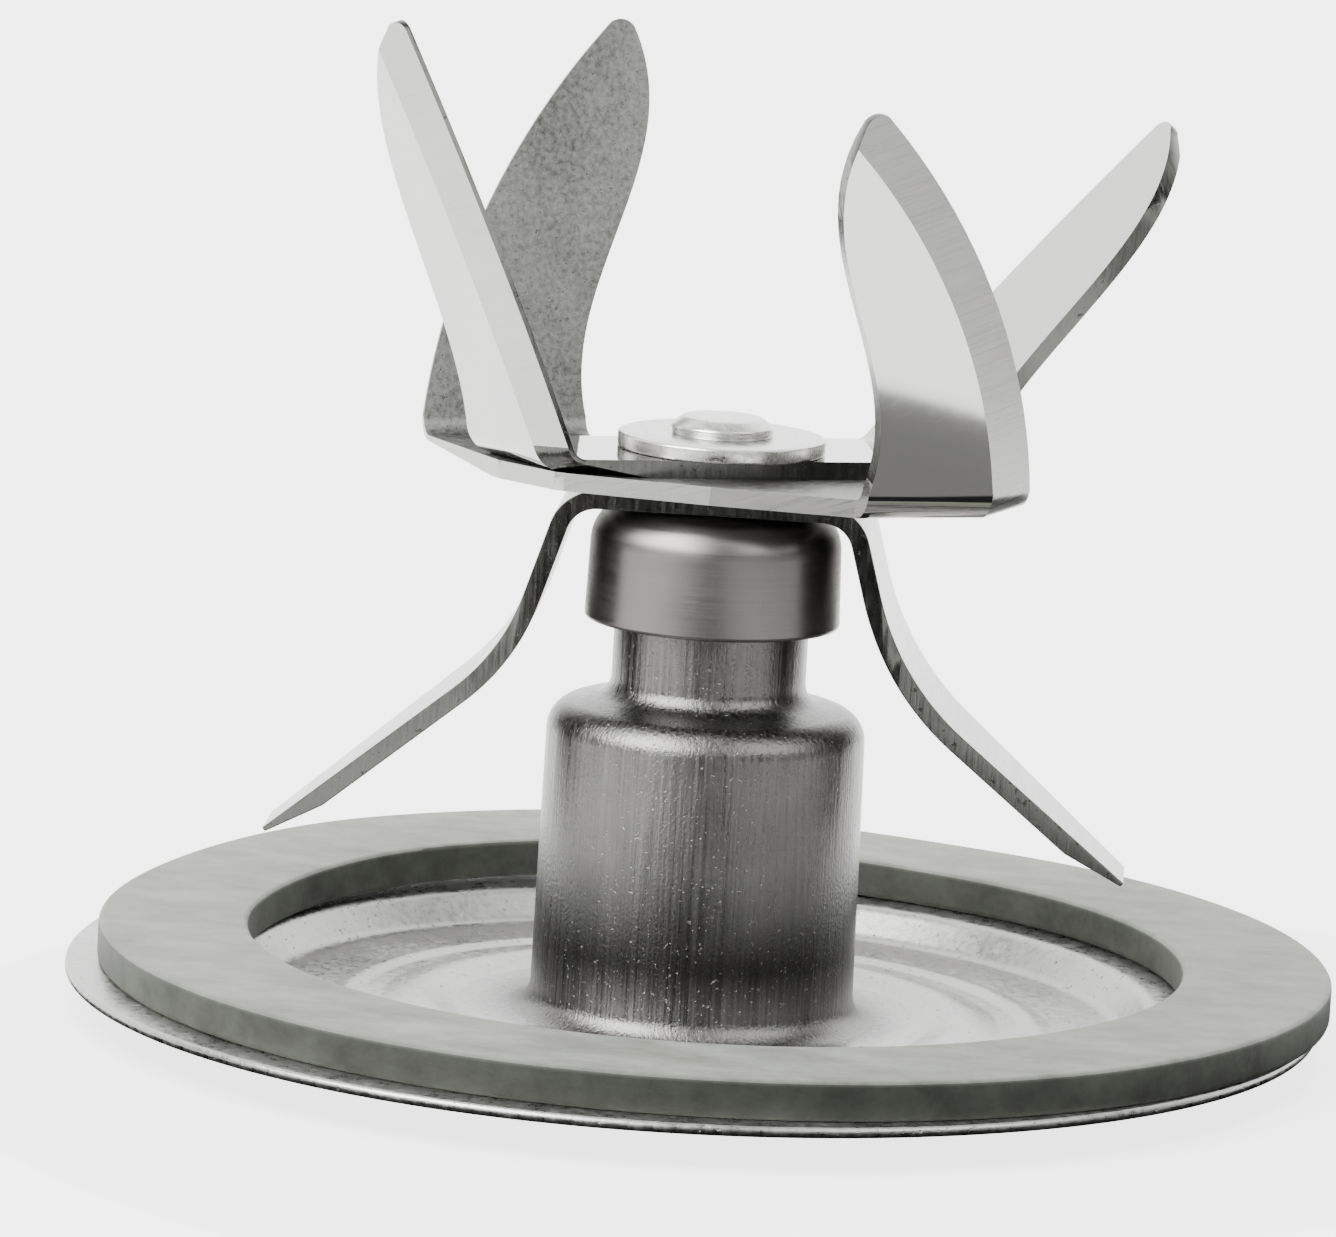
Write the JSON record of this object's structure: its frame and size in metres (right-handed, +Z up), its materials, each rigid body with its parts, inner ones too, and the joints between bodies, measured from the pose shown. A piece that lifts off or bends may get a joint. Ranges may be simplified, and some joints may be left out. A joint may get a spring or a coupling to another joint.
{
  "type": "juicer blade assembly",
  "caption": "Stainless blade assembly for a juicer or blender jar: a drawn base disc with a hub, a rubber gasket, and stacked bent blades on a turning spindle with a bell cap.",
  "frame": {"origin": "on the spindle axis, in the plane of the dished base's underside, which the part rests on", "axes": "+Z up along the spindle axis, +X to the right and +Y away from the viewer in the picture"},
  "size_m": [0.0707, 0.0704, 0.0557],
  "materials": {
    "drawn_steel": "satin, drawn, with fine vertical lines on the hub",
    "gasket_rubber": "matt grey-green rubber",
    "bearing_bronze": "sintered bronze",
    "seal_rubber": "matt black rubber",
    "washer_plastic": "natural nylon",
    "spindle_steel": "turned steel with a riveted head",
    "spring_steel": "dark spring steel",
    "cap_steel": "satin drawn steel",
    "blade_steel": "fine satin steel, ground at the cutting edges"
  },
  "bodies": {
    "base": {"bearing_housing": "drawn_steel", "sealing_gasket": "gasket_rubber", "bearing_bushing": "bearing_bronze", "shaft_seal": "seal_rubber", "upper_thrust_washer": "washer_plastic", "lower_thrust_washer": "washer_plastic"},
    "rotor": {"drive_spindle": "spindle_steel", "retaining_clip": "spring_steel", "bell_cap": "cap_steel", "lower_blade": "blade_steel", "middle_blade": "blade_steel", "upper_blade": "blade_steel", "blade_washer": "spindle_steel"}
  },
  "joints": [
    {"name": "blade_spin", "type": "hinge", "parent": "base", "child": "rotor", "pos_m": [0, 0, 0.0161], "axis": [0, 0, 1], "continuous": true}
  ]
}
